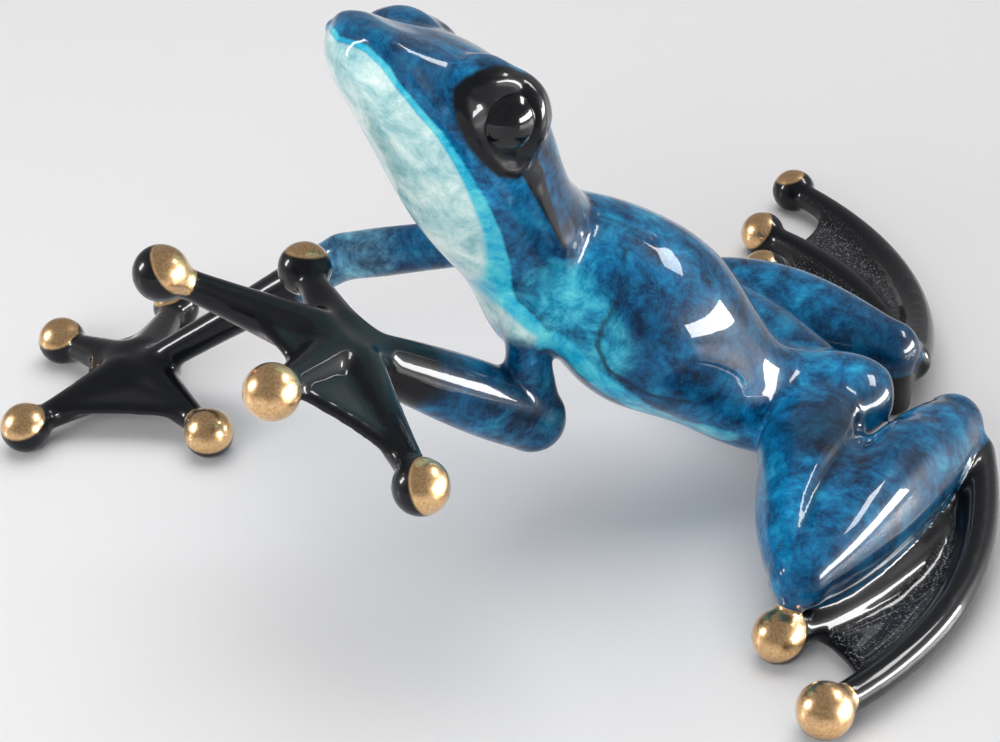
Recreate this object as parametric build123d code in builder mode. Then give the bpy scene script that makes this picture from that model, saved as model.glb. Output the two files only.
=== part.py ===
from build123d import *
from math import cos, radians, sin
import os

# A cast bronze frog, crawling: right hand planted, left hand raised, both hind feet splayed.
# Millimetres. The frog faces -Y, its left side is +X, and it stands on Z = 0.
# Places are given from a point on the ground under the pelvis, until the last section.

# Trunk
trunk_run = 44.7
trunk_rise = 25.6
trunk_width = 30.0
trunk_depth = 27.4
pelvis_height = 14.0
neck_pitch = 45.0
neck_yaw = 16.5

# Head
head_yaw = 33.0
head_run = 32.5
head_rise = 42.0
head_width = 30.0
head_depth = 21.0
eye_radius = 4.7
brow_radius = 6.7
eye_spread = 12.2
brow_spread = 11.3
lid_radius = 3.6
lid_out = 5.6
eye_clearance = 0.2

# Arms
shoulder_out = 9.5
shoulder_ahead_of_neck = 1.0
shoulder_below_neck = 2.0
arm_thickness = 10.4
left_elbow_out = 7.5
left_elbow_ahead = 44.6
left_elbow_height = 15.5
right_elbow_out = 19.0
right_elbow_ahead = 74.1
right_elbow_height = 29.1

# Hands
hand_length = 28.0
palm_thickness = 6.6
palm_width = 14.0
toe_thickness = 5.0
pad_radius = 4.1
web_thickness = 2.0
foot_web_thickness = 2.4
web_height = 0.8
left_palm_out = 23.7
left_palm_ahead = 71.1
left_palm_height = 36.6
left_hand_tilt = 31.0
right_palm_out = 25.1
right_palm_ahead = 108.7
right_palm_height = 5.0

# Legs
hip_out = 5.0
hip_ahead = 1.0
thigh_thickness = 14.8
calf_thickness = 14.8
knee_height = 11.5
left_knee_out = 44.0
left_knee_ahead = 7.6
right_knee_out = 42.0
right_knee_ahead = 21.0
heel_height = 10.5
left_heel_out = 1.5
left_heel_behind = 20.4
right_heel_out = 22.0
right_heel_behind = 14.2

# Feet
left_foot_length = 67.4
right_foot_length = 74.0
left_foot_heading = 26.0
right_foot_heading = 8.5
ankle_behind_heel = 3.5
foot_toe_thickness = 5.4
sole_flat = 0.4

# Weld seams, each with a spigot that locates the pieces
spigot_radius = 1.9
spigot_length = 4.0
spigot_clearance = 0.15
shoulder_seam = 9.0
hip_seam = 7.0
wrist_seam = 10.0
ankle_seam = 8.0

# Shares of the trunk's run, rise, width and depth, from the rump to the neck
TRUNK_SHARES = (
    (-0.245, 0.06, 0.14, 0.12),
    (-0.225, 0.06, 0.32, 0.27),
    (-0.17, 0.05, 0.47, 0.40),
    (0.00, 0.00, 0.62, 0.54),
    (0.19, 0.03, 0.66, 0.62),
    (0.38, 0.27, 0.80, 0.78),
    (0.56, 0.52, 1.00, 1.00),
    (0.70, 0.71, 1.00, 0.99),
    (0.84, 0.86, 0.92, 0.91),
    (1.00, 1.00, 0.83, 0.82),
)

# Head sections past the neck: shares of its run, rise, width, depth above and depth below
# the jaw line, and the pitch of the section in degrees
HEAD_SHARES = (
    (0.08, 0.24, 0.86, 0.33, 0.66),
    (0.23, 0.47, 0.95, 0.37, 0.73),
    (0.39, 0.64, 1.00, 0.41, 0.66),
    (0.60, 0.79, 0.88, 0.30, 0.50),
    (0.80, 0.91, 0.66, 0.20, 0.33),
    (0.95, 0.985, 0.30, 0.10, 0.13),
)
HEAD_PITCHES = (50.0, 50.0, 47.0, 42.0, 38.0, 36.0)
EYE_RUN_SHARE = 0.475
EYE_RISE_SHARE = 0.755
BROW_RUN_SHARE = 0.37
BROW_RISE_SHARE = 0.70
EYE_SEAT_SHARE = 0.55
DOME_SHARE = 0.74
DOME_RISE_SHARE = 0.72
THROAT_SHARE = 0.76
THROAT_DROP_SHARE = 0.70

# Thickness along the limbs, as shares of each limb's own thickness
LEFT_UPPER_ARM_SHARES = (0.80, 0.64, 0.74, 0.98)
LEFT_FOREARM_SHARES = (1.02, 1.06, 0.90, 0.66)
LEFT_ELBOW_SHARE = 1.06
RIGHT_UPPER_ARM_SHARES = (0.86, 0.72, 0.74, 0.74)
RIGHT_FOREARM_SHARES = (0.74, 0.64, 0.54, 0.56)
RIGHT_ELBOW_SHARE = 0.77
THIGH_SHARES = (0.92, 1.06, 1.00, 0.60)
LEFT_CALF_SHARES = (0.60, 0.96, 1.04, 0.96, 0.64)
RIGHT_CALF_SHARES = (0.62, 1.06, 1.20, 1.02, 0.66)
KNEE_SHARE = 0.63

# Toe tips from the palm, sideways and forward, as shares of the hand's length
LEFT_TOE_SHARES = ((-0.59, 0.28), (0.18, 1.01), (0.74, 0.35), (0.91, -0.47))
RIGHT_TOE_SHARES = ((-0.86, -0.11), (-0.43, 0.53), (0.58, 0.58), (0.64, -0.47))

# How far each web reaches out between its two toes, as shares of the toes' lengths
LEFT_WEB_SHARES = (0.46, 0.62, 0.88)
RIGHT_WEB_SHARES = (0.62, 0.60, 0.86)

# The palm's rounding and the toes of the hands, as shares of their own sizes
PALM_ROUND_SHARE = 0.92
TOE_START_SHARE = 0.13
TOE_ROOT_SHARE = 1.70
TOE_MIDDLE_SHARE = 1.20
TOE_WAIST_SHARE = 0.45
TOE_NECK_SHARE = 0.88
PAD_NECK_SHARE = 0.80
WEB_SCOOP_SHARE = 0.93

# Foot toes, outer to inner: shares of the foot's length for reach, bow and start of the ridge,
# and the turn from the foot's heading in degrees
LEFT_FOOT_TOES = (
    (1.00, 0.122, 0.0, 0.0),
    (0.825, 0.09, 0.30, 11.6),
    (0.63, 0.06, 0.36, 19.4),
)
RIGHT_FOOT_TOES = (
    (1.00, 0.126, 0.0, 0.0),
    (0.785, 0.09, 0.30, 10.2),
    (0.60, 0.06, 0.36, 18.0),
)

# The foot's ridges, webs and heel, as shares of their own sizes
RIM_SHARES = (1.30, 1.10, 1.00, 0.94, 0.86)
RIDGE_SHARES = (0.50, 0.80, 0.94, 0.94, 0.86)
FOOT_FALL = 4
FOOT_WEB_SHARE = 0.90
FOOT_SCOOP_SHARE = 0.96
HEEL_PAD_SHARE = 0.78
HEEL_BALL_SHARE = 0.34
ANKLE_HEIGHT_SHARE = 0.72

# The instep under the foot's web: shares of the foot's length for distance from the ankle,
# distance outward and width, then of the ankle's height for height and depth
INSTEP_SHARES = (
    (0.02, 0.00, 0.12, 0.92, 0.86),
    (0.18, 0.03, 0.16, 0.56, 0.64),
    (0.36, 0.02, 0.22, 0.38, 0.48),
    (0.54, -0.02, 0.27, 0.28, 0.34),
)


def section_plane(place, along, sideways):
    """A plane square to the limb at one place, its X axis turned towards sideways."""
    along = along.normalized()
    across = sideways - along * sideways.dot(along)
    return Plane(origin=place, x_dir=across, z_dir=along)


def limb_planes(places, sideways):
    """One plane at each place, square to the line between its neighbours."""
    planes = []
    for i, place in enumerate(places):
        before = places[max(i - 1, 0)]
        after = places[min(i + 1, len(places) - 1)]
        planes.append(section_plane(place, after - before, sideways))
    return planes


def limb(planes, widths, depths):
    """A limb lofted through ellipses."""
    with BuildPart() as flesh:
        for plane, width, depth in zip(planes, widths, depths):
            with BuildSketch(plane):
                Ellipse(width / 2, depth / 2)
        loft()
    return flesh.part


def on_bow(start, end, outward, share):
    """The place at one share of a shallow bow from start to end, outward at its middle."""
    return start + (end - start) * share + outward * (4 * share * (1 - share))


def round_limb(places, thickness, shares, sideways):
    """A limb of round section with its thickness given as shares."""
    sizes = [thickness * share for share in shares]
    return limb(limb_planes(places, sideways), sizes, sizes)


def straight_limb(start, end, thickness, shares, sideways):
    """A limb along a straight line, with its shares evenly spaced from start to end."""
    last = len(shares) - 1
    places = [start + (end - start) * (i / last) for i in range(len(shares))]
    return round_limb(places, thickness, shares, sideways)


def seam_at(root, tip, setback, sideways):
    """The weld seam across a limb, setback from its root, facing the tip."""
    return section_plane(root + (tip - root).normalized() * setback, tip - root, sideways)


# Places that the pieces share
X_WAY = Vector(1, 0, 0)
Z_WAY = Vector(0, 0, 1)
pad_height = pad_radius - sole_flat
neck = Vector(0, -trunk_run, pelvis_height + trunk_rise)
shoulder_height = neck.Z - shoulder_below_neck
left_shoulder = Vector(shoulder_out, -trunk_run - shoulder_ahead_of_neck, shoulder_height)
right_shoulder = Vector(-shoulder_out, -trunk_run - shoulder_ahead_of_neck, shoulder_height)
left_elbow = Vector(left_elbow_out, -left_elbow_ahead, left_elbow_height)
right_elbow = Vector(-right_elbow_out, -right_elbow_ahead, right_elbow_height)
left_palm = Vector(left_palm_out, -left_palm_ahead, left_palm_height)
right_palm = Vector(-right_palm_out, -right_palm_ahead, right_palm_height)
left_hip = Vector(hip_out, -hip_ahead, pelvis_height)
right_hip = Vector(-hip_out, -hip_ahead, pelvis_height)
left_knee = Vector(left_knee_out, -left_knee_ahead, knee_height)
right_knee = Vector(-right_knee_out, -right_knee_ahead, knee_height)
left_heel = Vector(left_heel_out, left_heel_behind, heel_height)
right_heel = Vector(-right_heel_out, right_heel_behind, heel_height)

# Trunk: one loft of oval sections, drawn in behind to a round rump
trunk_places = [
    Vector(0, -trunk_run * run, pelvis_height + trunk_rise * rise)
    for run, rise, width, depth in TRUNK_SHARES
]
trunk_widths = [trunk_width * width for run, rise, width, depth in TRUNK_SHARES]
trunk_depths = [trunk_depth * depth for run, rise, width, depth in TRUNK_SHARES]
neck_way = Vector(sin(radians(neck_yaw)), -cos(radians(neck_yaw)), 0) * cos(radians(neck_pitch))
neck_plane = section_plane(neck, neck_way + Z_WAY * sin(radians(neck_pitch)), X_WAY)
trunk_planes = limb_planes(trunk_places, X_WAY)
trunk_planes[-1] = neck_plane
trunk = limb(trunk_planes, trunk_widths, trunk_depths)

# Head frame: its heading on the ground, its own left, and its sections from the neck forward
heading = Vector(sin(radians(head_yaw)), -cos(radians(head_yaw)), 0)
head_left = Vector(cos(radians(head_yaw)), sin(radians(head_yaw)), 0)


def head_place(run_share, rise_share):
    """A place in the head's middle plane, as shares of its run and rise past the neck."""
    return neck + heading * (head_run * run_share) + Vector(0, 0, head_rise * rise_share)


def head_section(width, above, below):
    """Outline of the head: a domed top, side ridges at the jaw line and a rounder throat."""
    with BuildSketch() as outline:
        with BuildLine():
            Spline(
                (width, 0),
                (width * DOME_SHARE, above * DOME_RISE_SHARE),
                (0, above),
                (-width * DOME_SHARE, above * DOME_RISE_SHARE),
                (-width, 0),
                (-width * THROAT_SHARE, -below * THROAT_DROP_SHARE),
                (0, -below),
                (width * THROAT_SHARE, -below * THROAT_DROP_SHARE),
                periodic=True,
            )
        make_face()
    return outline.sketch


# Seams of the limbs, with the plane's normal pointing away from the trunk
neck_seam = neck_plane
left_shoulder_seam = seam_at(left_shoulder, left_elbow, shoulder_seam, X_WAY)
right_shoulder_seam = seam_at(right_shoulder, right_elbow, shoulder_seam, X_WAY)
left_hip_seam = seam_at(left_hip, left_knee, hip_seam, Z_WAY)
right_hip_seam = seam_at(right_hip, right_knee, hip_seam, Z_WAY)
left_wrist_seam = seam_at(left_palm, left_elbow, wrist_seam, X_WAY)
right_wrist_seam = seam_at(right_palm, right_elbow, wrist_seam, X_WAY)
left_ankle_seam = seam_at(left_heel, left_knee, ankle_seam, Z_WAY)
right_ankle_seam = seam_at(right_heel, right_knee, ankle_seam, Z_WAY)

# Limb halves, each lofted by itself
left_upper_arm = straight_limb(
    left_shoulder, left_elbow, arm_thickness, LEFT_UPPER_ARM_SHARES, X_WAY)
right_upper_arm = straight_limb(
    right_shoulder, right_elbow, arm_thickness, RIGHT_UPPER_ARM_SHARES, X_WAY)
left_forearm = straight_limb(left_elbow, left_palm, arm_thickness, LEFT_FOREARM_SHARES, X_WAY)
right_forearm = straight_limb(right_elbow, right_palm, arm_thickness, RIGHT_FOREARM_SHARES, X_WAY)
left_thigh = straight_limb(left_hip, left_knee, thigh_thickness, THIGH_SHARES, Z_WAY)
right_thigh = straight_limb(right_hip, right_knee, thigh_thickness, THIGH_SHARES, Z_WAY)
left_calf = straight_limb(left_knee, left_heel, calf_thickness, LEFT_CALF_SHARES, Z_WAY)
right_calf = straight_limb(right_knee, right_heel, calf_thickness, RIGHT_CALF_SHARES, Z_WAY)


def peg(seam, radius, length):
    """A round peg standing on the back of a seam plane."""
    with BuildPart() as shape:
        with BuildSketch(seam):
            Circle(radius)
        extrude(amount=-length)
    return shape.part


def spigot(seam):
    """The spigot that locates one casting in the next."""
    return peg(seam, spigot_radius, spigot_length)


def socket(seam):
    """The socket that takes a spigot, with its clearance all round and at the end."""
    return peg(seam, spigot_radius + spigot_clearance, spigot_length + spigot_clearance)


def ball(place, along, radius):
    """A ball whose poles lie on the line of the limb that it ends."""
    with BuildPart() as shape:
        with Locations(Plane(origin=place, z_dir=along.normalized())):
            Sphere(radius)
    return shape.part


# Head casting: lofted from the neck seam to the snout, with a brow and a socket for each eye
eye_middle = head_place(EYE_RUN_SHARE, EYE_RISE_SHARE)
left_eye_place = eye_middle + head_left * eye_spread
right_eye_place = eye_middle - head_left * eye_spread
brow_middle = head_place(BROW_RUN_SHARE, BROW_RISE_SHARE)


def eye_bead(place, outward, radius):
    """A ball cut flat at its back, at the depth of the socket's floor."""
    floor = Plane(origin=place - outward * (eye_radius * EYE_SEAT_SHARE), z_dir=outward)
    with BuildPart() as shape:
        add(ball(place, outward, radius))
        split(bisect_by=floor, keep=Keep.TOP)
    return shape.part


with BuildPart() as head:
    with BuildSketch(neck_plane):
        Ellipse(trunk_widths[-1] / 2, trunk_depths[-1] / 2)
    for (run, rise, width, above, below), pitch in zip(HEAD_SHARES, HEAD_PITCHES):
        along = heading * cos(radians(pitch)) + Z_WAY * sin(radians(pitch))
        with BuildSketch(section_plane(head_place(run, rise), along, head_left)):
            add(head_section(head_width * width / 2, head_depth * above, head_depth * below))
    loft()
    for outward in (head_left, -head_left):
        add(ball(brow_middle + outward * brow_spread, outward, brow_radius))
    for place, outward in ((left_eye_place, head_left), (right_eye_place, -head_left)):
        add(ball(place - outward * (brow_radius - eye_radius), outward, brow_radius))
        add(eye_bead(place, outward, eye_radius + eye_clearance), mode=Mode.SUBTRACT)
        add(ball(place + outward * lid_out, outward, lid_radius), mode=Mode.SUBTRACT)
    add(spigot(neck_seam))

# Body casting: the trunk with the roots of the four limbs
with BuildPart() as body:
    add(trunk)
    for root, seam in (
        (left_upper_arm, left_shoulder_seam),
        (right_upper_arm, right_shoulder_seam),
        (left_thigh, left_hip_seam),
        (right_thigh, right_hip_seam),
    ):
        stub = split(root, bisect_by=seam, keep=Keep.BOTTOM, mode=Mode.PRIVATE)
        add(stub - head.part)
    for seam in (
        neck_seam,
        left_shoulder_seam,
        right_shoulder_seam,
        left_hip_seam,
        right_hip_seam,
    ):
        add(socket(seam), mode=Mode.SUBTRACT)


def bent_limb(upper, lower, root_seam, end_seam, bend, ball_radius):
    """Two halves of a limb joined by a ball at its bend, between two seams."""
    with BuildPart() as flesh:
        add(split(upper, bisect_by=root_seam, keep=Keep.TOP, mode=Mode.PRIVATE))
        add(split(lower, bisect_by=end_seam, keep=Keep.TOP, mode=Mode.PRIVATE))
        add(ball(bend, end_seam.origin - bend, ball_radius))
        add(spigot(root_seam))
        add(spigot(end_seam))
    return flesh.part


# Arms: each from its shoulder seam to its wrist seam
with BuildPart() as left_arm:
    add(bent_limb(left_upper_arm, left_forearm, left_shoulder_seam, left_wrist_seam,
                  left_elbow, arm_thickness / 2 * LEFT_ELBOW_SHARE))
    add(body.part, mode=Mode.SUBTRACT)
    add(head.part, mode=Mode.SUBTRACT)
with BuildPart() as right_arm:
    add(bent_limb(right_upper_arm, right_forearm, right_shoulder_seam, right_wrist_seam,
                  right_elbow, arm_thickness / 2 * RIGHT_ELBOW_SHARE))
    add(body.part, mode=Mode.SUBTRACT)
    add(head.part, mode=Mode.SUBTRACT)

# Eyes: glossy beads with a flat back that seats on the floor of the socket
with BuildPart() as left_eye:
    add(eye_bead(left_eye_place, head_left, eye_radius))
with BuildPart() as right_eye:
    add(eye_bead(right_eye_place, -head_left, eye_radius))


def flat(place):
    """The place on the ground below a point."""
    return (place.X, place.Y)


def hand_web(tips, reaches):
    """Outline of the webs between the toes, in the plane of the hand, with scooped edges."""
    with BuildSketch() as outline:
        for first, second, reach in zip(tips, tips[1:], reaches):
            with BuildLine():
                start = first * reach
                end = second * reach
                Line((0, 0), start)
                ThreePointArc(start, (start + end) / 2 * WEB_SCOOP_SHARE, end)
                Line(end, (0, 0))
            make_face()
    return outline.sketch


def hand_toe(root, tip):
    """A toe turned about its own line: a tapered stem that ends in a ball pad."""
    length = (tip - root).length
    stem = toe_thickness / 2
    level = (tip - root).cross(Z_WAY)
    with BuildPart() as shape:
        with BuildSketch(Plane(origin=root, x_dir=(tip - root).cross(level), z_dir=level)):
            with BuildLine():
                Line((0, 0), (stem * TOE_ROOT_SHARE, 0))
                Spline(
                    (stem * TOE_ROOT_SHARE, 0),
                    (stem * TOE_MIDDLE_SHARE, length * TOE_WAIST_SHARE),
                    (stem * TOE_NECK_SHARE, length - pad_radius * PAD_NECK_SHARE),
                )
                Line((stem * TOE_NECK_SHARE, length - pad_radius * PAD_NECK_SHARE), (0, length))
                Line((0, length), (0, 0))
            make_face()
        revolve(axis=Axis(root, tip - root))
        add(ball(tip, tip - root, pad_radius))
    return shape.part


def palm(palm_plane):
    """The palm: a low round cushion, rounded over at both rims."""
    with BuildPart() as shape:
        with Locations(palm_plane):
            Cylinder(palm_width / 2, palm_thickness)
        fillet(shape.edges().filter_by(GeomType.CIRCLE), palm_thickness / 2 * PALM_ROUND_SHARE)
    return shape.part


def open_hand(palm_plane, shares, reaches, drop, wrist_stub, wrist_seam_plane):
    """A webbed hand of four ball-tipped toes spread from the palm."""
    tips = [Vector(side * hand_length, -ahead * hand_length) for side, ahead in shares]
    with BuildPart() as shape:
        add(palm(palm_plane))
        for tip in tips:
            end = palm_plane.from_local_coords(tip - Vector(0, 0, drop))
            start = palm_plane.origin + (end - palm_plane.origin) * TOE_START_SHARE
            add(hand_toe(start, end))
        with BuildSketch(palm_plane):
            add(hand_web(tips, reaches))
        extrude(amount=web_thickness / 2, both=True)
        add(split(wrist_stub, bisect_by=wrist_seam_plane, keep=Keep.BOTTOM, mode=Mode.PRIVATE))
        add(socket(wrist_seam_plane), mode=Mode.SUBTRACT)
    return shape.part


# Hands: the left one tilted up in the air, the right one flat on the ground
tilt = radians(left_hand_tilt)
left_palm_plane = Plane(origin=left_palm, x_dir=X_WAY, z_dir=Vector(0, sin(tilt), cos(tilt)))
right_palm_plane = Plane(origin=right_palm, x_dir=X_WAY, z_dir=Z_WAY)
with BuildPart() as left_hand:
    add(open_hand(left_palm_plane, LEFT_TOE_SHARES, LEFT_WEB_SHARES, 0,
                  left_forearm, left_wrist_seam))
with BuildPart() as right_hand:
    add(open_hand(right_palm_plane, RIGHT_TOE_SHARES, RIGHT_WEB_SHARES,
                  right_palm_height - pad_height, right_forearm, right_wrist_seam))
    split(bisect_by=Plane.XY, keep=Keep.TOP)


def webbed_foot(heel, heading_angle, side, foot_length, toes, calf_end, ankle_seam_plane):
    """A webbed foot that falls from the heel to three ball-tipped toes, with a raised outer rim."""
    behind = Vector(side * sin(radians(heading_angle)), cos(radians(heading_angle)), 0)
    ankle = Vector(heel.X, heel.Y, 0) + behind * ankle_behind_heel
    ankle_height = heel.Z * ANKLE_HEIGHT_SHARE

    def on_toe(toe, share):
        reach, bow, start, turn = toe
        angle = radians(heading_angle + turn)
        tip = ankle + Vector(side * cos(angle), -sin(angle), 0) * (foot_length * reach)
        outward = Vector(side * sin(angle), cos(angle), 0) * (foot_length * bow)
        height = pad_height + (ankle_height - pad_height) * (1 - share) ** FOOT_FALL
        return on_bow(ankle, tip, outward, share) + Z_WAY * height

    forward = Vector(side * cos(radians(heading_angle)), -sin(radians(heading_angle)), 0)
    instep = [
        section_plane(
            ankle + forward * (foot_length * run) + behind * (foot_length * out)
            + Z_WAY * (ankle_height * height),
            forward, Z_WAY)
        for run, out, width, height, depth in INSTEP_SHARES
    ]
    depths = [ankle_height * depth for run, out, width, height, depth in INSTEP_SHARES]
    widths = [foot_length * width for run, out, width, height, depth in INSTEP_SHARES]
    with BuildPart() as shape:
        for first, second in zip(toes, toes[1:]):
            first_end = on_toe(first, FOOT_WEB_SHARE)
            second_end = on_toe(second, FOOT_WEB_SHARE)
            scoop = (first_end + second_end) / 2 * FOOT_SCOOP_SHARE + ankle * (1 - FOOT_SCOOP_SHARE)
            with BuildSketch(Plane.XY.offset(web_height)):
                with BuildLine():
                    ThreePointArc(flat(ankle), flat(on_toe(first, 1 / 2)), flat(first_end))
                    ThreePointArc(flat(first_end), flat(scoop), flat(second_end))
                    ThreePointArc(flat(second_end), flat(on_toe(second, 1 / 2)), flat(ankle))
                make_face()
            extrude(amount=foot_web_thickness)
        add(limb(instep, depths, widths))
        with BuildSketch(Plane(origin=flat(heel))):
            Circle(foot_toe_thickness * HEEL_PAD_SHARE)
        extrude(amount=heel.Z)
        add(ball(heel, ankle_seam_plane.z_dir, calf_thickness * HEEL_BALL_SHARE))
        for toe in toes:
            reach, bow, start, turn = toe
            sizes = RIM_SHARES if toe is toes[0] else RIDGE_SHARES
            last = len(sizes) - 1
            places = [on_toe(toe, start + (1 - start) * i / last) for i in range(len(sizes))]
            add(round_limb(places, foot_toe_thickness, sizes, Z_WAY))
            add(ball(places[-1], places[-1] - places[-2], pad_radius))
        add(split(calf_end, bisect_by=ankle_seam_plane, keep=Keep.BOTTOM, mode=Mode.PRIVATE))
        add(socket(ankle_seam_plane), mode=Mode.SUBTRACT)
        split(bisect_by=Plane.XY, keep=Keep.TOP)
    return shape.part


# Feet: each with the heel and the end of the calf
with BuildPart() as left_foot:
    add(webbed_foot(left_heel, left_foot_heading, 1, left_foot_length, LEFT_FOOT_TOES,
                    left_calf, left_ankle_seam))
with BuildPart() as right_foot:
    add(webbed_foot(right_heel, right_foot_heading, -1, right_foot_length, RIGHT_FOOT_TOES,
                    right_calf, right_ankle_seam))

# Legs: each from its hip seam to its ankle seam
knee_radius = calf_thickness / 2 * KNEE_SHARE
with BuildPart() as left_leg:
    add(bent_limb(left_thigh, left_calf, left_hip_seam, left_ankle_seam,
                  left_knee, knee_radius))
    add(body.part, mode=Mode.SUBTRACT)
    add(left_foot.part, mode=Mode.SUBTRACT)
with BuildPart() as right_leg:
    add(bent_limb(right_thigh, right_calf, right_hip_seam, right_ankle_seam,
                  right_knee, knee_radius))
    add(body.part, mode=Mode.SUBTRACT)
    add(right_foot.part, mode=Mode.SUBTRACT)


# Set the frog down with the middle of its outline over the origin
castings = (
    (body, "body"),
    (head, "head"),
    (left_eye, "left_eye"),
    (right_eye, "right_eye"),
    (left_arm, "left_arm"),
    (right_arm, "right_arm"),
    (left_hand, "left_hand"),
    (right_hand, "right_hand"),
    (left_leg, "left_leg"),
    (right_leg, "right_leg"),
    (left_foot, "left_foot"),
    (right_foot, "right_foot"),
)
extent = Compound([casting.part for casting, name in castings]).bounding_box()
shift = Location(Vector(-extent.center().X, -extent.center().Y, -extent.min.Z))
os.makedirs("parts", exist_ok=True)
for casting, name in castings:
    piece = casting.part.moved(shift)
    piece.label = name
    export_step(piece, f"parts/{name}.step")
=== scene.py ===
import math

import bmesh
import bpy
import numpy as np
from mathutils import Matrix, Vector
from mathutils.bvhtree import BVHTree


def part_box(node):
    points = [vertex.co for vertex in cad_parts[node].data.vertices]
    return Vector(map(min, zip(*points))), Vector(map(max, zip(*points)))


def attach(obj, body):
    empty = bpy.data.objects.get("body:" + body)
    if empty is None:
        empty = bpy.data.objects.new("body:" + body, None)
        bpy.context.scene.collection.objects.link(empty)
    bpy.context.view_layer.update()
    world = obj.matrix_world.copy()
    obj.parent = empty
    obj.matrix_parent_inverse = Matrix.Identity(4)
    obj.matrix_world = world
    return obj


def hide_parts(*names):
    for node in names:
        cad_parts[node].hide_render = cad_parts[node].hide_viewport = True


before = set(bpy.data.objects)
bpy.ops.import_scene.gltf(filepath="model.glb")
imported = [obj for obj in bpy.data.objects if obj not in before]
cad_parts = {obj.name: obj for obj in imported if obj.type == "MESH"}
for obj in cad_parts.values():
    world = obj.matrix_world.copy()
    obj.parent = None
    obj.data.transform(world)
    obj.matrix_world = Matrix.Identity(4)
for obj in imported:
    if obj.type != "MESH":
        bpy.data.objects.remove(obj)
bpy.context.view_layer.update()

# Skin: the frog's one continuous cast bronze surface. The real one is cast in pieces from wax,
# welded and chased until no seam shows. The CAD castings are welded here in the same way, then
# the lids, ridges and webs are worked in with strokes of a tool along the surface.
TRUNK_NODES = ("body", "left_arm", "right_arm", "left_leg", "right_leg")
HEAD_NODES = ("head", "left_eye", "right_eye")
HANDS = ("left_hand", "right_hand")
FEET = ("left_foot", "right_foot")
ENDS = HANDS + FEET
# Blender's metre, in the millimetres of every size, place and distance of the frog here
METRE = 1000
WELD_GRAIN = 0.43
bpy.ops.object.select_all(action="DESELECT")
for name in TRUNK_NODES + HEAD_NODES + ENDS:
    copy = bpy.data.objects.new("wax_" + name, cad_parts[name].data.copy())
    bpy.context.scene.collection.objects.link(copy)
    copy.select_set(True)
    bpy.context.view_layer.objects.active = copy
bpy.ops.object.join()
skin = bpy.context.view_layer.objects.active
skin.name = "trunk_skin"
weld = skin.modifiers.new("weld", "REMESH")
weld.mode = "VOXEL"
weld.voxel_size = WELD_GRAIN / METRE
bpy.ops.object.modifier_apply(modifier="weld")


def read(collection, name, kind=np.float32, width=1):
    """One value of every item in a mesh's collection."""
    values = np.empty(len(collection) * width, kind)
    collection.foreach_get(name, values)
    return values


def points_of(obj):
    """The object's vertices."""
    return read(obj.data.vertices, "co", width=3).reshape(-1, 3).astype(float) * METRE


def normals_of(obj):
    """The way that the surface faces at each vertex."""
    return read(obj.data.vertex_normals, "vector", width=3).reshape(-1, 3).astype(float)


def surface_of(obj):
    """The object's surface, to measure from."""
    mesh = obj.data
    return BVHTree.FromPolygons([v.co for v in mesh.vertices], [p.vertices for p in mesh.polygons])


def nearest_on(points, path):
    """The place nearest to each point on a line through the path's places, and how far it is."""
    nearest = np.zeros((len(points), 3))
    best = np.full(len(points), np.inf)
    for start, end in zip(path, path[1:]):
        along = np.subtract(end, start)
        share = np.clip((points - start) @ along / (along @ along), 0, 1)
        foot = start + share[:, None] * along
        gap = np.linalg.norm(points - foot, axis=1)
        nearest[gap < best] = foot[gap < best]
        best = np.minimum(best, gap)
    return nearest, best


def distance_to(points, path):
    """Distance from each point to a line through the path's places."""
    return nearest_on(points, path)[1]


def distance_from(points, place):
    """Distance from each point to one place."""
    return np.linalg.norm(points - place, axis=1)


def smooth_step(value):
    """A soft slope from 0 to 1."""
    value = np.clip(value, 0, 1)
    return value * value * (3 - 2 * value)


def within(value, reach, fade):
    """A mask that is full where the value is small, and fades out just before the reach."""
    return smooth_step((reach - value) / fade)


def beyond(value, start, fade):
    """A mask that is empty up to the start, and full once the fade is passed."""
    return smooth_step((value - start) / fade)


NEAR_SLOPE = 1.6


def near_places(points, places):
    """A soft mask that is full near each (place, radius) and gone at the radius."""
    near = np.zeros(len(points))
    for place, radius in places:
        share = distance_from(points, place) / radius
        near = np.maximum(near, smooth_step(NEAR_SLOPE * (1 - share)))
    return near


WEIGHT_STEPS = 10


def relax(obj, rounds, weights=None):
    """Smooths the surface, everywhere or where the weights say."""
    group = None
    if weights is not None:
        group = obj.vertex_groups.new(name="relax")
        for step in range(1, WEIGHT_STEPS + 1):
            chosen = np.nonzero(np.ceil(weights * WEIGHT_STEPS) == step)[0]
            group.add([int(i) for i in chosen], step / WEIGHT_STEPS, "REPLACE")
    rub = obj.modifiers.new("rub", "SMOOTH")
    rub.factor = 0.5
    rub.iterations = rounds
    if group:
        rub.vertex_group = group.name
    bpy.context.view_layer.objects.active = obj
    bpy.ops.object.modifier_apply(modifier="rub")
    if group:
        obj.vertex_groups.clear()


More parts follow.
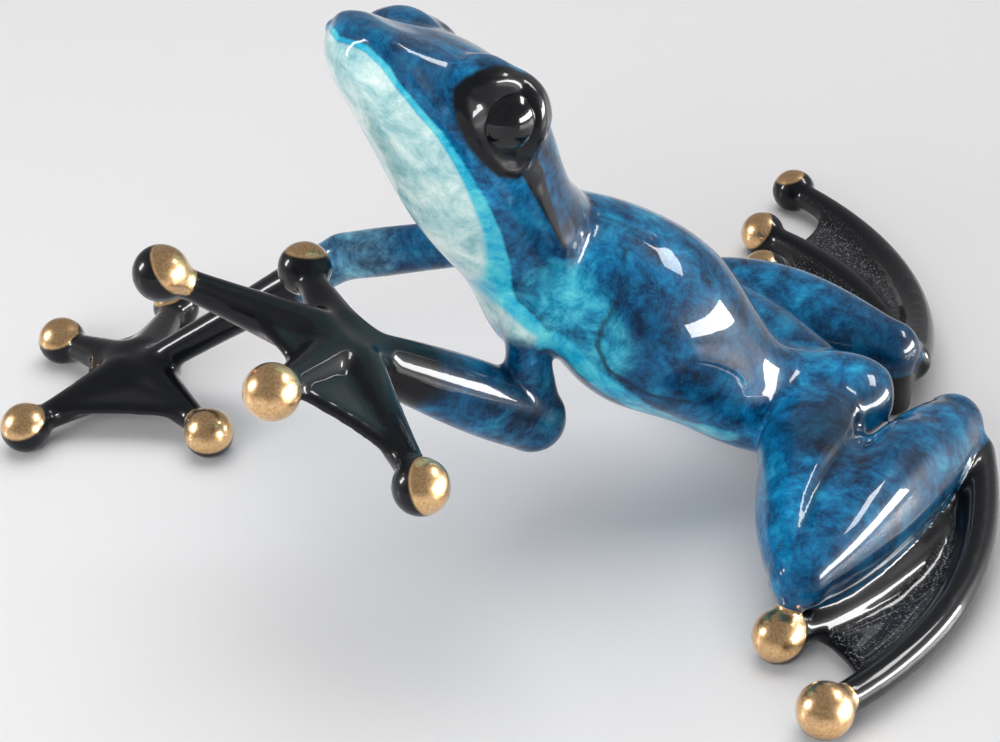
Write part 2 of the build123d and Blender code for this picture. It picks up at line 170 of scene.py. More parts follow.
# Where wax is blended over a junction before casting: (place, radius)
JUNCTIONS = {
    "chest": ((16.1, 5.2, 36.0), 17.0),
    "left shoulder": ((25.5, 4.2, 34.0), 9.0),
    "right shoulder": ((6.5, 4.2, 34.0), 9.0),
    "left elbow": ((23.6, 6.4, 15.5), 9.0),
    "right elbow": ((-3.0, -23.1, 29.1), 8.0),
    "left wrist": ((39.8, -20.1, 36.6), 11.0),
    "right wrist": ((-9.1, -57.7, 5.0), 11.0),
    "left hip": ((22.5, 49.7, 14.0), 13.0),
    "right hip": ((9.5, 49.7, 14.0), 13.0),
    "left knee": ((60.0, 43.4, 11.5), 6.0),
    "right knee": ((-26.0, 30.0, 11.5), 6.0),
    "left heel": ((17.6, 71.4, 8.0), 11.0),
    "right heel": ((-5.9, 65.2, 8.0), 11.0),
    "snout": ((32.6, -19.3, 81.0), 8.0),
    "left brow": ((29.7, 5.5, 70.0), 11.0),
    "right brow": ((9.8, -7.5, 70.0), 11.0),
    "left of the nape": ((24.5, 13.0, 49.0), 13.0),
    "right of the nape": ((7.6, 13.0, 49.0), 13.0),
}
# The webbed hands and feet, and the hollow of the lifted palm: (place, radius)
WEBS = {
    "left hand": ((45.0, -28.0, 40.0), 36.0),
    "right hand": ((-9.0, -58.0, 4.0), 38.0),
    "left foot": ((52.0, 55.0, 2.0), 42.0),
    "right foot": ((-45.0, 58.0, 2.0), 46.0),
}
LEFT_PALM = ((46.0, -22.0, 38.0), 10.0)
# The ball on each toe, four to a hand and three to a foot: its place, the side of it that is
# gilded, and how far the gilding comes round it, from 1 for none to -1 for all
PADS = (
    # Left hand
    ((44.8, -44.3, 51.2), (0.2, 0.9, 0.6), 0.35),
    ((23.2, -26.8, 40.6), (-0.2, 0.1, 1.0), 0.65),
    ((60.5, -28.5, 41.6), (0.9, 0.0, 0.5), -0.10),
    ((65.2, -8.8, 29.8), (0.4, 0.9, 0.4), 0.20),
    # Right hand
    ((-33.1, -54.6, 3.7), (0.0, -0.4, 1.0), 0.60),
    ((-21.1, -72.5, 3.7), (0.3, -0.3, 1.0), 0.45),
    ((7.2, -73.9, 3.7), (0.4, -0.2, 1.0), 0.40),
    ((8.9, -44.5, 3.7), (0.5, 0.0, 1.0), 0.05),
    # Left foot
    ((79.7, 45.0, 3.7), (0.6, 0.0, 0.8), -0.05),
    ((63.1, 40.6, 3.7), (0.5, -0.4, 0.8), 0.10),
    ((48.9, 44.3, 3.7), (0.4, -0.4, 0.8), 0.45),
    # Right foot
    ((-79.7, 57.7, 3.7), (0.0, -0.3, 1.0), 0.75),
    ((-61.5, 50.0, 3.7), (0.2, -0.8, 0.6), 0.30),
    ((-46.2, 48.9, 3.7), (0.2, -0.8, 0.6), 0.30),
)
PAD_KEPT = 5.6
relax(skin, rounds=8)
places = points_of(skin)
relax(skin, rounds=60, weights=near_places(places, JUNCTIONS.values()))
pads = near_places(places, [(place, PAD_KEPT) for place, side, share in PADS])
relax(skin, rounds=30, weights=near_places(places, WEBS.values()) * (1 - pads))
relax(skin, rounds=40, weights=near_places(places, (LEFT_PALM,)))

# The photograph's camera, so that a tool can follow what it shows at a pixel
PHOTO_WIDTH = 1000
CAMERA_PLACE = np.array((334.05, 1.70, 202.8))
CAMERA_PITCH = math.radians(30.0)
FOCUS = 2400.0
MIDDLE = (500.0, 371.0)
AHEAD = np.array((-math.cos(CAMERA_PITCH), 0.0, -math.sin(CAMERA_PITCH)))
ACROSS = np.array((0.0, 1.0, 0.0))
UPWARD = np.array((-math.sin(CAMERA_PITCH), 0.0, math.cos(CAMERA_PITCH)))


def seen(surface, pixels):
    """The places on a surface that the photograph shows at these pixels."""
    found = []
    for across, down in pixels:
        way = AHEAD + ACROSS * (across - MIDDLE[0]) / FOCUS - UPWARD * (down - MIDDLE[1]) / FOCUS
        hit = surface.ray_cast(Vector(CAMERA_PLACE / METRE), Vector(way).normalized())[0]
        if hit:
            found.append(np.array(hit) * METRE)
    return found


def pixels_of(points):
    """Where the photograph's camera sees each point."""
    gap = points - CAMERA_PLACE
    depth = gap @ AHEAD
    return np.stack((MIDDLE[0] + FOCUS * (gap @ ACROSS) / depth,
                     MIDDLE[1] - FOCUS * (gap @ UPWARD) / depth), axis=1)


# The head is the same on both sides, and so is the trunk, so each far side is worked as a
# mirror of the side that the photograph shows
NECK = np.array((16.05, 6.3, 39.6))
HEAD_LEFT = np.array((0.8387, 0.5446, 0.0))
HEAD_AHEAD = np.array((0.5446, -0.8387, 0.0))


def on_left(points):
    """The points with those on the head's right side mirrored to its left."""
    side = (points - NECK) @ HEAD_LEFT
    return points - (np.minimum(side, 0) * 2)[:, None] * HEAD_LEFT


def on_near_side(points):
    """The points with those on the trunk's right side mirrored to its left."""
    mirrored = points.copy()
    mirrored[:, 0] = NECK[0] + np.abs(points[:, 0] - NECK[0])
    return mirrored


def inside(pixels, outline):
    """Which pixels lie inside a closed outline."""
    within_outline = np.zeros(len(pixels), bool)
    for (x0, y0), (x1, y1) in zip(outline, outline[1:] + outline[:1]):
        if y0 != y1:
            crosses = (pixels[:, 1] > min(y0, y1)) & (pixels[:, 1] <= max(y0, y1))
            at = x0 + (pixels[:, 1] - y0) * (x1 - x0) / (y1 - y0)
            within_outline ^= crosses & (pixels[:, 0] < at)
    return within_outline


def raise_by(obj, heights):
    """Raises or sinks the surface along its normals."""
    points = points_of(obj) + normals_of(obj) * heights[:, None]
    obj.data.vertices.foreach_set("co", (points / METRE).astype(np.float32).ravel())
    obj.data.update()


# The neck runs into the back without a step
NECK_STEP = [(592, 194), (586, 218), (581, 242), (574, 268)]
step = seen(surface_of(skin), NECK_STEP)
step_gap = distance_to(on_near_side(points_of(skin)), step)
relax(skin, rounds=60, weights=within(step_gap, reach=8.5, fade=6.0))

# Eye sockets: sunk inside the rim of each lid, with a soft slope down from the rim
LID = [(461, 92), (470, 84), (486, 80), (506, 78), (524, 83), (538, 97), (544, 116), (541, 137),
       (531, 158), (517, 172), (503, 170), (488, 158), (475, 142), (466, 124), (461, 106)]
LID_RIM = LID + LID[:1]
SOCKET_RADIUS = 11.0
SOCKET_DEPTH = 1.4
SOCKET_SLOPE = 3.8
surface = surface_of(skin)
lid = seen(surface, LID_RIM)
places = on_left(points_of(skin))
head_only = beyond(places[:, 2], start=44.0, fade=4.0)
eye_gap = distance_from(places, np.mean(lid, axis=0))
hollow = inside(pixels_of(places), LID) & (eye_gap < SOCKET_RADIUS)
slope = beyond(distance_to(places, lid), start=0.0, fade=SOCKET_SLOPE)
raise_by(skin, -SOCKET_DEPTH * hollow * slope)
relax(skin, rounds=14, weights=within(eye_gap, reach=12.0, fade=3.0))

# Strokes along the head, where the photograph shows them
MOUTH_EDGE = [(386, 62), (398, 68), (410, 73), (422, 91), (437, 109), (452, 127), (464, 145),
              (477, 164), (492, 185), (504, 206)]
CHEEK_HOLLOW = [(408, 77), (418, 84), (430, 92)]
SNOUT_RIDGE = [(372, 32), (395, 46), (413, 55), (435, 61), (455, 64), (468, 70)]
BROW_RIDGE = [(478, 74), (500, 68), (522, 74), (540, 90)]
NECK_RIDGE = [(541, 198), (549, 216), (560, 240), (570, 258)]
GROOVE_BEFORE = [(522, 196), (530, 214), (542, 236), (552, 254)]
GROOVE_BEHIND = [(548, 180), (551, 196), (557, 216), (565, 236)]
# Each stroke: (line, radius, height)
HEAD_STROKES = (
    (LID_RIM, 1.7, 0.35),
    (MOUTH_EDGE, 1.8, 0.55),
    (CHEEK_HOLLOW, 3.4, -0.5),
    (SNOUT_RIDGE, 2.6, 0.3),
    (BROW_RIDGE, 3.4, 0.25),
    (NECK_RIDGE, 2.6, 0.3),
    (GROOVE_BEFORE, 2.4, -0.25),
    (GROOVE_BEHIND, 2.4, -0.25),
)
for line, radius, height in HEAD_STROKES:
    gap = distance_to(on_left(points_of(skin)), seen(surface, line))
    raise_by(skin, within(gap, radius, radius) * head_only * height)

# Strokes along the trunk and the near leg
NAPE_LINE = [(584, 212), (600, 216), (618, 222), (640, 232), (655, 240)]
THIGH_CREASE = [(862, 424), (832, 462), (815, 492), (804, 525)]
FLANK_FOLD = [(655, 388), (690, 402), (730, 419), (770, 433)]
CALF_RIDGE = [(915, 430), (890, 470), (860, 515), (830, 550)]
BODY_STROKES = (
    (NAPE_LINE, 1.4, -0.25),
    (THIGH_CREASE, 2.0, -1.0),
    (FLANK_FOLD, 6.5, 1.0),
    (CALF_RIDGE, 7.0, 0.8),
)
for line, radius, height in BODY_STROKES:
    gap = distance_to(points_of(skin), seen(surface, line))
    raise_by(skin, within(gap, radius, radius) * height)
relax(skin, rounds=2)
bpy.ops.object.select_all(action="DESELECT")
skin.select_set(True)
bpy.ops.object.shade_smooth()
surface = surface_of(skin)


def gap_to(points, names, reach):
    """Distance from each point to the CAD castings, or the reach where they are farther off."""
    gaps = np.full(len(points), reach)
    for name in names:
        low, high = (np.array(corner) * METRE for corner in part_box(name))
        close = np.nonzero(np.all((points > low - reach) & (points < high + reach), axis=1))[0]
        casting = surface_of(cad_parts[name])
        for i in close:
            gap = casting.find_nearest(Vector(points[i] / METRE), gaps[i] / METRE)[3]
            if gap is not None:
                gaps[i] = min(gaps[i], gap * METRE)
    return gaps


def traced(points, line, reach, fade):
    """A soft mask along a line that the photograph shows."""
    return within(distance_to(points, seen(surface, line)), reach, fade)


places = points_of(skin)
folded = on_left(places)
rearward, height = places[:, 1], places[:, 2]
ups = normals_of(skin)
columns = pixels_of(places)[:, 0]
hands = gap_to(places, HANDS, reach=16.0)
feet = gap_to(places, FEET, reach=6.0)
trunk = gap_to(places, TRUNK_NODES, reach=6.0)
arms = gap_to(places, ("left_arm", "right_arm"), reach=4.0)
far_arm = gap_to(places, ("right_arm",), reach=2.0)
legs = gap_to(places, ("left_leg", "right_leg"), reach=4.0)
head = gap_to(places, HEAD_NODES, reach=6.0)
core = np.minimum(gap_to(places, ("body",), reach=6.0), head)
on_arm = 1 - beyond(arms - core, start=-0.7, fade=2.0)

# Black of the hands fades into the forearms, and that of the feet ends at the calves
LEFT_CALF = ((17.6, 71.4, 12.5), (60.0, 43.4, 11.5))
RIGHT_CALF = ((-5.9, 65.2, 12.5), (-26.0, 30.0, 11.5))
FOOT_REACH = 5.0
calves = np.minimum(distance_to(places, LEFT_CALF), distance_to(places, RIGHT_CALF))
calf_ends = within(calves, reach=7.5, fade=1.5) * beyond(height, start=6.5, fade=2.0)
hand_black = within(hands, reach=8.5, fade=8.0)
foot_black = beyond(trunk - feet, start=-0.4, fade=0.8) * (feet < FOOT_REACH) * (1 - calf_ends)

# Black of the eyes covers the socket and the brow's outer slope, and runs down the neck as a tear
BROW_CREST = [(486, 70), (510, 66), (532, 80), (545, 102)]
TEAR = [(530, 160), (541, 190), (553, 220), (565, 248), (578, 272)]
TEAR_WIDTH = 2.4
TEAR_TAPER = 1.9
crest = seen(surface, BROW_CREST)
outward = (folded - np.mean(crest, axis=0)) @ HEAD_LEFT
lid_black = np.maximum(hollow, within(distance_to(folded, lid), reach=2.4, fade=2.4))
brow_black = traced(folded, BROW_CREST, reach=4.3, fade=2.5) * beyond(outward, start=-2.2, fade=2.0)
tear_width = TEAR_WIDTH - TEAR_TAPER * within(height, reach=66.0, fade=24.0)
tear_black = traced(folded, TEAR, tear_width, fade=0.9) * head_only

# Throat: pale below a line from the snout past the jaw, with a turquoise band along the line
THROAT_EDGE = [(328, 38), (345, 41), (366, 49), (384, 66), (401, 90), (420, 113), (440, 135),
               (456, 158), (470, 180), (484, 205), (498, 235), (506, 265), (512, 300)]
THROAT_WAY = HEAD_AHEAD * 0.79 - np.array((0.0, 0.0, 0.61))
BAND_ABOVE = 0.4
BAND_GAIN = 1.8
BAND_REACH = 1.3
below = (folded - nearest_on(folded, seen(surface, THROAT_EDGE))[0]) @ THROAT_WAY
throat_only = beyond(height, start=27.0, fade=8.0) * within(rearward, reach=12.0, fade=6.0)
throat_only *= 1 - on_arm
throat_pale = beyond(below, start=-0.2, fade=1.0) * throat_only
band = BAND_ABOVE + BAND_GAIN * within(height, reach=74.0, fade=34.0)
band_cyan = beyond(below, start=-0.9, fade=1.0) * within(below, BAND_REACH * band, band) * throat_only

# Belly and armpits: a bright turquoise band along the lower side
BELLY_LINE = [(554, 342), (585, 370), (625, 398), (671, 420), (719, 435)]
ARMPIT_LINE = [(556, 290), (580, 320), (596, 350)]
ARMPIT_SHARE = 0.55
mirrored = on_near_side(places)
belly_cyan = traced(mirrored, BELLY_LINE, reach=4.6, fade=4.0)
armpit_cyan = traced(mirrored, ARMPIT_LINE, reach=9.5, fade=7.0) * ARMPIT_SHARE
belly_cyan = np.maximum(belly_cyan, armpit_cyan) * (1 - on_arm)
belly_cyan *= beyond(legs - core, start=-0.75, fade=1.5)

# Arms: a bright cloud on the near elbow, and the far forearm paler until it goes black
ELBOW_CLOUD = ((31.0, 8.0, 19.0), 17.0)
ELBOW_SHARE = 0.28
FAR_CYAN_SHARE = 0.30
FAR_PALE_SHARE = 0.34
FAR_WRIST_COLUMN = 318.0
FAR_WRIST_FADE = 36.0
elbow_cyan = near_places(places, (ELBOW_CLOUD,)) * on_arm * ELBOW_SHARE
forearm = within(far_arm, reach=1.5, fade=1.5) * on_arm
forearm *= beyond(distance_from(places, JUNCTIONS["right shoulder"][0]), start=9.0, fade=15.0)
forearm_black = forearm * within(columns, FAR_WRIST_COLUMN, FAR_WRIST_FADE)

# Dark lines, the drip where the lacquer ran and painted shade in grooves: (line, reach, fade,
# strength)
DRIP_LINE = [(625, 250), (618, 300), (602, 328), (597, 345), (608, 370), (650, 395), (690, 402)]
HIP_SHADE = [(812, 440), (840, 410), (875, 402)]
DARK_LINES = (
    (DRIP_LINE, 0.65, 0.5, 0.75),
    # Painted shade: the nape groove, the hollow of the hip behind the calf, and the thigh crease
    (NAPE_LINE, 0.6, 0.5, 0.5),
    (HIP_SHADE, 5.0, 4.0, 0.6),
    (THIGH_CREASE, 1.5, 1.3, 0.6),
)
dark_lines = [traced(places, line, reach, fade) * strength
              for line, reach, fade, strength in DARK_LINES]

# Toe pads: black balls, gilded on one side. The webs between them get pale specks of painted sparkle.
PAD_REACH = 5.0
PAD_CLEAR = 7.0
GILT_FADE = 0.35
gold = np.zeros(len(places))
pad_black = np.zeros(len(places))
for place, side, share in PADS:
    gap = distance_from(places, place)
    gilded_side = np.array(side) / np.linalg.norm(side)
    facing = (places - place) / gap[:, None] @ gilded_side
    ball = within(gap, PAD_REACH, fade=0.5)
    gold = np.maximum(gold, beyond(facing, share - GILT_FADE / 2, GILT_FADE) * ball)
    pad_black = np.maximum(pad_black, ball)
clear = near_places(places, [(place, PAD_CLEAR) for place, side, share in PADS])
# Painted sparkle of the stippled webs: pale specks on their upward faces, away from the pads
stipple_sparkle = within(feet, reach=3.0, fade=2.0) * beyond(ups[:, 2], start=0.4, fade=0.3)
stipple_sparkle *= within(height, reach=5.6, fade=1.0) * (1 - clear)

# The masks are stored on the surface for the patina to read
masks = {
    "black": (hand_black, foot_black, lid_black, brow_black, tear_black, forearm_black, pad_black),
    "gold": (gold,),
    "pale": (throat_pale, forearm * FAR_PALE_SHARE),
    "cyan": (band_cyan, belly_cyan, elbow_cyan, forearm * FAR_CYAN_SHARE),
    # The drip line, and the painted shade of the nape groove, hip hollow and thigh crease
    "dark": dark_lines,
    "stipple_sparkle": (stipple_sparkle,),
}
for name, layers in masks.items():
    mask = np.clip(np.maximum.reduce(layers), 0, 1)
    attribute = skin.data.attributes.new(name, "FLOAT", "POINT")
    attribute.data.foreach_set("value", mask.astype(np.float32))


def add_node(tree, kind, settings=None, inputs=None):
    """A node with its settings, and its inputs linked or given a value."""
    node = tree.nodes.new(kind)
    for key, value in (settings or {}).items():
        setattr(node, key, value)
    for key, value in (inputs or {}).items():
        if isinstance(value, bpy.types.NodeSocket):
            tree.links.new(value, node.inputs[key])
        else:
            node.inputs[key].default_value = value
    return node


def mix_colour(tree, share, first, second, blend="MIX"):
    """Two colours mixed, with more of the second as the share rises."""
    return add_node(tree, "ShaderNodeMix", {"data_type": "RGBA", "blend_type": blend},
                    {0: share, 6: first, 7: second}).outputs[2]


def ramp(tree, share, stops):
    """A colour ramp with its stops as (place, colour)."""
    node = add_node(tree, "ShaderNodeValToRGB", inputs={0: share})
    band = node.color_ramp
    while len(band.elements) < len(stops):
        band.elements.new(0.5)
    for element, (place, colour) in zip(band.elements, stops):
        element.position = place
        element.color = (*colour, 1)
    return node.outputs[0]


# Patina: the colour of the bronze, laid on hot with chemicals and sealed under clear lacquer. It
# is of mottled blues, which the masks turn to pale green, turquoise, black or gilding.
MOTTLE_SCALE = 190.0
CLOUD_SCALE = 42.0
VEIN_SCALE = 420.0
SPECK_SCALE = 2600.0
MOTTLED_BLUES = (
    (0.34, (0.001, 0.014, 0.036)),
    (0.44, (0.001, 0.064, 0.175)),
    (0.54, (0.003, 0.165, 0.375)),
    (0.64, (0.014, 0.330, 0.580)),
    (0.76, (0.080, 0.500, 0.660)),
)
PALE_GREENS = (
    (0.32, (0.130, 0.360, 0.410)),
    (0.44, (0.300, 0.520, 0.540)),
    (0.54, (0.460, 0.650, 0.640)),
    (0.66, (0.680, 0.800, 0.770)),
)
TURQUOISES = (
    (0.32, (0.001, 0.150, 0.360)),
    (0.46, (0.010, 0.360, 0.560)),
    (0.60, (0.090, 0.540, 0.620)),
    (0.74, (0.280, 0.680, 0.680)),
)
BRONZES = ((0.35, (0.66, 0.38, 0.16)), (0.65, (0.88, 0.60, 0.32)))
CLOUD_SHADES = ((0.36, (0.26, 0.33, 0.38)), (0.56, (1.0, 1.0, 1.0)))
CLOUD_SHARE = 0.9
VEIN_EDGES = ((0.46, (0, 0, 0)), (0.495, (1, 1, 1)), (0.53, (0, 0, 0)))
VEIN_BLUE = (0.030, 0.430, 0.660, 1)
VEIN_SHARE = 0.16
SPECK_EDGES = ((0.56, (0, 0, 0)), (0.66, (1, 1, 1)))
# Dark blue of the lacquer drip and of the painted shade in the nape, hip hollow and thigh crease
DRIP_AND_SHADE_BLUE = (0.004, 0.010, 0.022, 1)
INK_BLACK = (0.0035, 0.004, 0.006, 1)
# Grey of the painted sparkle on the foot webs
SPARKLE_GREY = (0.22, 0.23, 0.24, 1)
RAGGEDNESS = 1.4
FRAYED_EDGE = (0.2, 0.8)
PATINA_ROUGHNESS = 0.38
GILT_ROUGHNESS = 0.27
patina = bpy.data.node_groups.new("patina", "ShaderNodeTree")
scale_in = patina.interface.new_socket("Mottle Scale", in_out="INPUT", socket_type="NodeSocketFloat")
scale_in.default_value = MOTTLE_SCALE
patina.interface.new_socket("Color", in_out="OUTPUT", socket_type="NodeSocketColor")
patina.interface.new_socket("Gold", in_out="OUTPUT", socket_type="NodeSocketFloat")
patina.interface.new_socket("Roughness", in_out="OUTPUT", socket_type="NodeSocketFloat")
group_in = add_node(patina, "NodeGroupInput")
where = add_node(patina, "ShaderNodeTexCoord").outputs["Object"]
painted = {name: add_node(patina, "ShaderNodeAttribute", {"attribute_name": name}).outputs["Fac"]
           for name in masks}
patches = add_node(patina, "ShaderNodeTexNoise", inputs={
    "Vector": where, "Scale": group_in.outputs["Mottle Scale"],
    "Detail": 10.0, "Roughness": 0.72, "Distortion": 0.3}).outputs[0]
clouds = add_node(patina, "ShaderNodeTexNoise", inputs={
    "Vector": where, "Scale": CLOUD_SCALE, "Detail": 3.0, "Roughness": 0.5}).outputs[0]
threads = add_node(patina, "ShaderNodeTexNoise", inputs={
    "Vector": where, "Scale": VEIN_SCALE,
    "Detail": 6.0, "Roughness": 0.6, "Distortion": 0.8}).outputs[0]
specks = add_node(patina, "ShaderNodeTexNoise", inputs={
    "Vector": where, "Scale": SPECK_SCALE, "Detail": 2.0, "Roughness": 0.7}).outputs[0]
ragged = add_node(patina, "ShaderNodeMath", {"operation": "MULTIPLY_ADD"}, {
    0: patches, 1: RAGGEDNESS, 2: -RAGGEDNESS / 2}).outputs[0]


def frayed(mask, strength):
    """A mask whose soft edge is broken up by the mottling."""
    edge = add_node(patina, "ShaderNodeMath", {"operation": "MULTIPLY"}, {0: ragged, 1: strength})
    total = add_node(patina, "ShaderNodeMath", {"operation": "ADD"}, {0: mask, 1: edge.outputs[0]})
    return add_node(patina, "ShaderNodeMapRange", {"interpolation_type": "SMOOTHSTEP"}, {
        0: total.outputs[0], 1: FRAYED_EDGE[0], 2: FRAYED_EDGE[1]}).outputs[0]


blue = ramp(patina, patches, MOTTLED_BLUES)
veined = mix_colour(patina, ramp(patina, threads, VEIN_EDGES), blue, VEIN_BLUE)
blue = mix_colour(patina, VEIN_SHARE, blue, veined)
blue = mix_colour(patina, CLOUD_SHARE, blue, ramp(patina, clouds, CLOUD_SHADES), "MULTIPLY")
pale_green = ramp(patina, patches, PALE_GREENS)
turquoise = ramp(patina, patches, TURQUOISES)
# Painted sparkle: pale specks mixed into the black of the foot webs
speck = mix_colour(patina, 1.0, ramp(patina, specks, SPECK_EDGES), painted["stipple_sparkle"], "MULTIPLY")
ink = mix_colour(patina, speck, INK_BLACK, SPARKLE_GREY)
bronze = ramp(patina, specks, BRONZES)
colour = mix_colour(patina, frayed(painted["pale"], strength=0.3), blue, pale_green)
colour = mix_colour(patina, frayed(painted["cyan"], strength=0.5), colour, turquoise)
# Darkens the drip line, and paints shade into the nape groove, hip hollow and thigh crease
colour = mix_colour(patina, painted["dark"], colour, DRIP_AND_SHADE_BLUE)
colour = mix_colour(patina, frayed(painted["black"], strength=0.35), colour, ink)
gilt = frayed(painted["gold"], strength=0.25)
colour = mix_colour(patina, gilt, colour, bronze)
roughness = add_node(patina, "ShaderNodeMapRange", inputs={
    0: gilt, 3: PATINA_ROUGHNESS, 4: GILT_ROUGHNESS}).outputs[0]
add_node(patina, "NodeGroupOutput", inputs={"Color": colour, "Gold": gilt, "Roughness": roughness})


def new_material(name):
    """An empty material and its node tree."""
    material = bpy.data.materials.new(name)
    material.use_nodes = True
    material.node_tree.nodes.clear()
    return material, material.node_tree


def add_surface(tree, inputs):
    """Gives a material its surface, with the values of its finish."""
    shader = add_node(tree, "ShaderNodeBsdfPrincipled", inputs=inputs)
    add_node(tree, "ShaderNodeOutputMaterial", inputs={"Surface": shader.outputs[0]})


# Each patina lies under a hard, clear coat of lacquer, which gives the sharp reflections
skin_materials = {}
for name in ("blue_patina", "black_patina"):
    skin_materials[name], tree = new_material(name)
    colours = add_node(tree, "ShaderNodeGroup", {"node_tree": patina}, {"Mottle Scale": MOTTLE_SCALE})
    add_surface(tree, {
        "Base Color": colours.outputs["Color"], "Metallic": colours.outputs["Gold"],
        "Roughness": colours.outputs["Roughness"], "Specular IOR Level": 0.1,
        "Coat Weight": 1.0, "Coat Roughness": 0.025, "Coat IOR": 1.27})

# The skin is parted along the castings' seams into pieces that can be used again by themselves.
# The shading is kept across each cut, and each open end is closed. What lies farther than the
# stray gap from every casting stays with the trunk.
STRAY_GAP = 5.9
pieces = [("trunk_skin", TRUNK_NODES, "blue_patina"), ("head_skin", ("head",), "blue_patina")]
pieces += [(name + "_skin", (name,), "black_patina") for name in ENDS]
shading = skin.data.attributes.new("shading", "FLOAT_VECTOR", "POINT")
shading.data.foreach_set("vector", ups.astype(np.float32).ravel())
gaps = np.stack([trunk, head] + [gap_to(places, (name,), reach=6.0) for name in ENDS])
owner = np.where(np.min(gaps, axis=0) > STRAY_GAP, 0, np.argmin(gaps, axis=0))
attribute = skin.data.attributes.new("owner", "INT", "POINT")
attribute.data.foreach_set("value", owner.astype(np.int32))
for number, (piece_name, nodes, slot) in enumerate(pieces[1:], start=1):
    mesh = skin.data
    owners = read(mesh.attributes["owner"].data, "value", np.int32)
    corners = read(mesh.loops, "vertex_index", np.int32)
    starts = read(mesh.polygons, "loop_start", np.int32)
    mesh.vertices.foreach_set("select", np.zeros(len(mesh.vertices), bool))
    mesh.edges.foreach_set("select", np.zeros(len(mesh.edges), bool))
    mesh.polygons.foreach_set("select", owners[corners[starts]] == number)
    bpy.ops.object.select_all(action="DESELECT")
    skin.select_set(True)
    bpy.context.view_layer.objects.active = skin
    bpy.ops.object.mode_set(mode="EDIT")
    bpy.ops.mesh.select_mode(type="FACE")
    bpy.ops.mesh.separate(type="SELECTED")
    bpy.ops.object.mode_set(mode="OBJECT")
    part = [other for other in bpy.context.selected_objects if other is not skin][0]
    part.name = piece_name

CAP_INSET = 0.8


def close_ends(mesh):
    """Closes each open end with a cap that is drawn in from the surface."""
    work = bmesh.new()
    work.from_mesh(mesh)
    left = {edge for edge in work.edges if edge.is_boundary}
    while left:
        end, waiting = [], [left.pop()]
        while waiting:
            edge = waiting.pop()
            end.append(edge)
            for other in [e for v in edge.verts for e in v.link_edges if e in left]:
                left.discard(other)
                waiting.append(other)
        rim = {vertex for edge in end for vertex in edge.verts}
        middle = sum((vertex.co for vertex in rim), Vector()) / len(rim)
        inner = {vertex: work.verts.new(middle.lerp(vertex.co, CAP_INSET)) for vertex in rim}
        hub = work.verts.new(middle)
        for edge in end:
            first = edge.link_loops[0].vert
            second = edge.other_vert(first)
            work.faces.new((second, first, inner[first], inner[second]))
            work.faces.new((inner[second], inner[first], hub))
    work.to_mesh(mesh)
    work.free()


for piece_name, nodes, slot in pieces:
    part = bpy.data.objects[piece_name]
    close_ends(part.data)
    kept = read(part.data.attributes["shading"].data, "vector", width=3)
    part.data.normals_split_custom_set_from_vertices(kept.reshape(-1, 3).tolist())
    part.data.attributes.remove(part.data.attributes["shading"])
    part.data.attributes.remove(part.data.attributes["owner"])
    part.data.materials.clear()
    part.data.materials.append(skin_materials[slot])
    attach(part, "root")
    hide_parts(*nodes)

# Eyes: two polished beads, as black and glossy as glass. Each is pressed into its socket when
# the patina is done, with the rim of the lid close round it.
EYE_PLACE = np.array((34.5, 2.3, 69.6))
EYE_RADIUS = 4.7
EYE_BLACKS = ((0.3, (0.002, 0.002, 0.003)), (0.7, (0.005, 0.006, 0.008)))
eye_gloss, tree = new_material("eye_gloss")
where = add_node(tree, "ShaderNodeTexCoord").outputs["Object"]
grain = add_node(tree, "ShaderNodeTexNoise", inputs={"Vector": where, "Scale": 900.0, "Detail": 2.0})
tint = ramp(tree, grain.outputs[0], EYE_BLACKS)
add_surface(tree, {
    "Base Color": tint, "Roughness": 0.2, "Specular IOR Level": 0.1,
    "Coat Weight": 1.0, "Coat Roughness": 0.01, "Coat IOR": 1.4})
mirror_place = EYE_PLACE - 2 * ((EYE_PLACE - NECK) @ HEAD_LEFT) * HEAD_LEFT
for side, place in (("left", EYE_PLACE), ("right", mirror_place)):
    bpy.ops.mesh.primitive_uv_sphere_add(segments=64, ring_count=32, radius=EYE_RADIUS / METRE)
    eye = bpy.context.object
    eye.name = side + "_eyeball"
    eye.data.transform(Matrix.Translation(Vector(place / METRE)))
    bpy.ops.object.shade_smooth()
    eye.data.materials.append(eye_gloss)
    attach(eye, "root")
    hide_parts(side + "_eye")

# Floor: the sheet of pale, glossy board that the frog stands on. It is laid flat, runs far past
# the picture's edges, and is very slightly uneven in tone.
FLOOR_SIZE = 6000.0
FLOOR_WHITES = ((0.3, (0.790, 0.785, 0.790)), (0.7, (0.810, 0.805, 0.810)))
bpy.ops.mesh.primitive_plane_add(size=FLOOR_SIZE / METRE)
floor = bpy.context.object
floor.name = "floor"
board, tree = new_material("floor")
where = add_node(tree, "ShaderNodeTexCoord").outputs["Object"]
faint = add_node(tree, "ShaderNodeTexNoise", inputs={"Vector": where, "Scale": 3.0, "Detail": 1.0})
tint = ramp(tree, faint.outputs[0], FLOOR_WHITES)
add_surface(tree, {"Base Color": tint, "Roughness": 0.26, "IOR": 1.2, "Specular IOR Level": 0.3})
floor.data.materials.append(board)

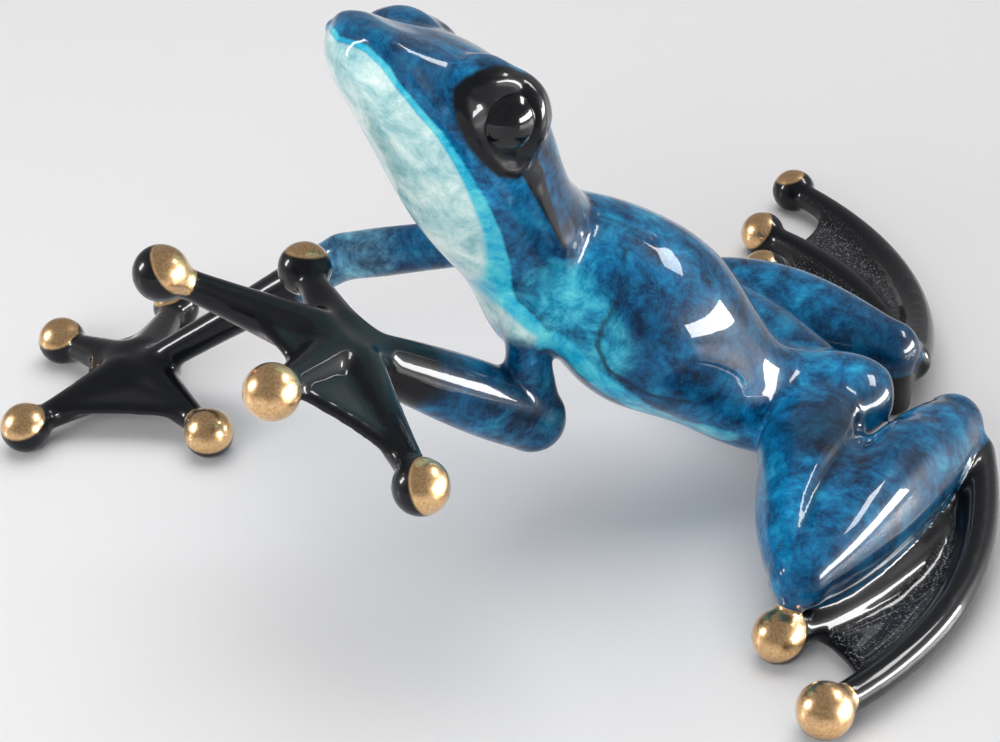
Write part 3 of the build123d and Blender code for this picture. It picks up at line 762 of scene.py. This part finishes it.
# Light: softboxes as in a product studio, in metres and watts. Two of them light the frog, and
# the other three are seen only as the long reflections in the lacquer.
ORIGIN = (0.0, 0.0, 0.0)
FROG = (0.0, 0.0, 0.04)
# Each softbox: (name, place, aim, width, height, power, use)
SOFTBOXES = (
    ("top", (-0.35, 0.00, 0.85), ORIGIN, 1.00, 1.00, 6.4, "light"),
    ("front", (0.62, -0.30, 0.26), FROG, 0.60, 0.44, 4.6, "light"),
    ("left", (0.04, -0.62, 0.26), FROG, 0.12, 0.22, 3.2, "reflection"),
    ("right", (0.14, 0.63, 0.13), FROG, 0.66, 0.14, 14.0, "reflection"),
    ("high_right", (-0.15, 0.46, 0.47), FROG, 0.26, 0.10, 2.2, "reflection"),
)
WORLD_WHITE = (0.90, 0.90, 0.92, 1)
WORLD_STRENGTH = 0.33
for name, place, aim, width, height, power, use in SOFTBOXES:
    lamp = bpy.data.lights.new(name, "AREA")
    lamp.shape = "RECTANGLE"
    lamp.size = width
    lamp.size_y = height
    lamp.energy = power
    holder = bpy.data.objects.new(name, lamp)
    bpy.context.scene.collection.objects.link(holder)
    holder.location = place
    holder.visible_glossy = use == "reflection"
    holder.visible_diffuse = use == "light"
    holder.rotation_euler = (Vector(aim) - Vector(place)).to_track_quat("-Z", "Y").to_euler()
world = bpy.data.worlds.new("studio")
bpy.context.scene.world = world
world.use_nodes = True
world.node_tree.nodes["Background"].inputs["Color"].default_value = WORLD_WHITE
world.node_tree.nodes["Background"].inputs["Strength"].default_value = WORLD_STRENGTH

# Camera: at the photograph's place and angle, with the long lens that gives the same picture. It
# looks down on the frog's left side.
lens = bpy.data.cameras.new("camera")
lens.sensor_width = 36.0
lens.lens = FOCUS / PHOTO_WIDTH * lens.sensor_width
lens.clip_start = 0.01
camera = bpy.data.objects.new("camera", lens)
bpy.context.scene.collection.objects.link(camera)
camera.location = CAMERA_PLACE / METRE
camera.rotation_euler = Vector(AHEAD).to_track_quat("-Z", "Y").to_euler()
bpy.context.scene.camera = camera
bpy.context.scene.view_settings.view_transform = "Standard"
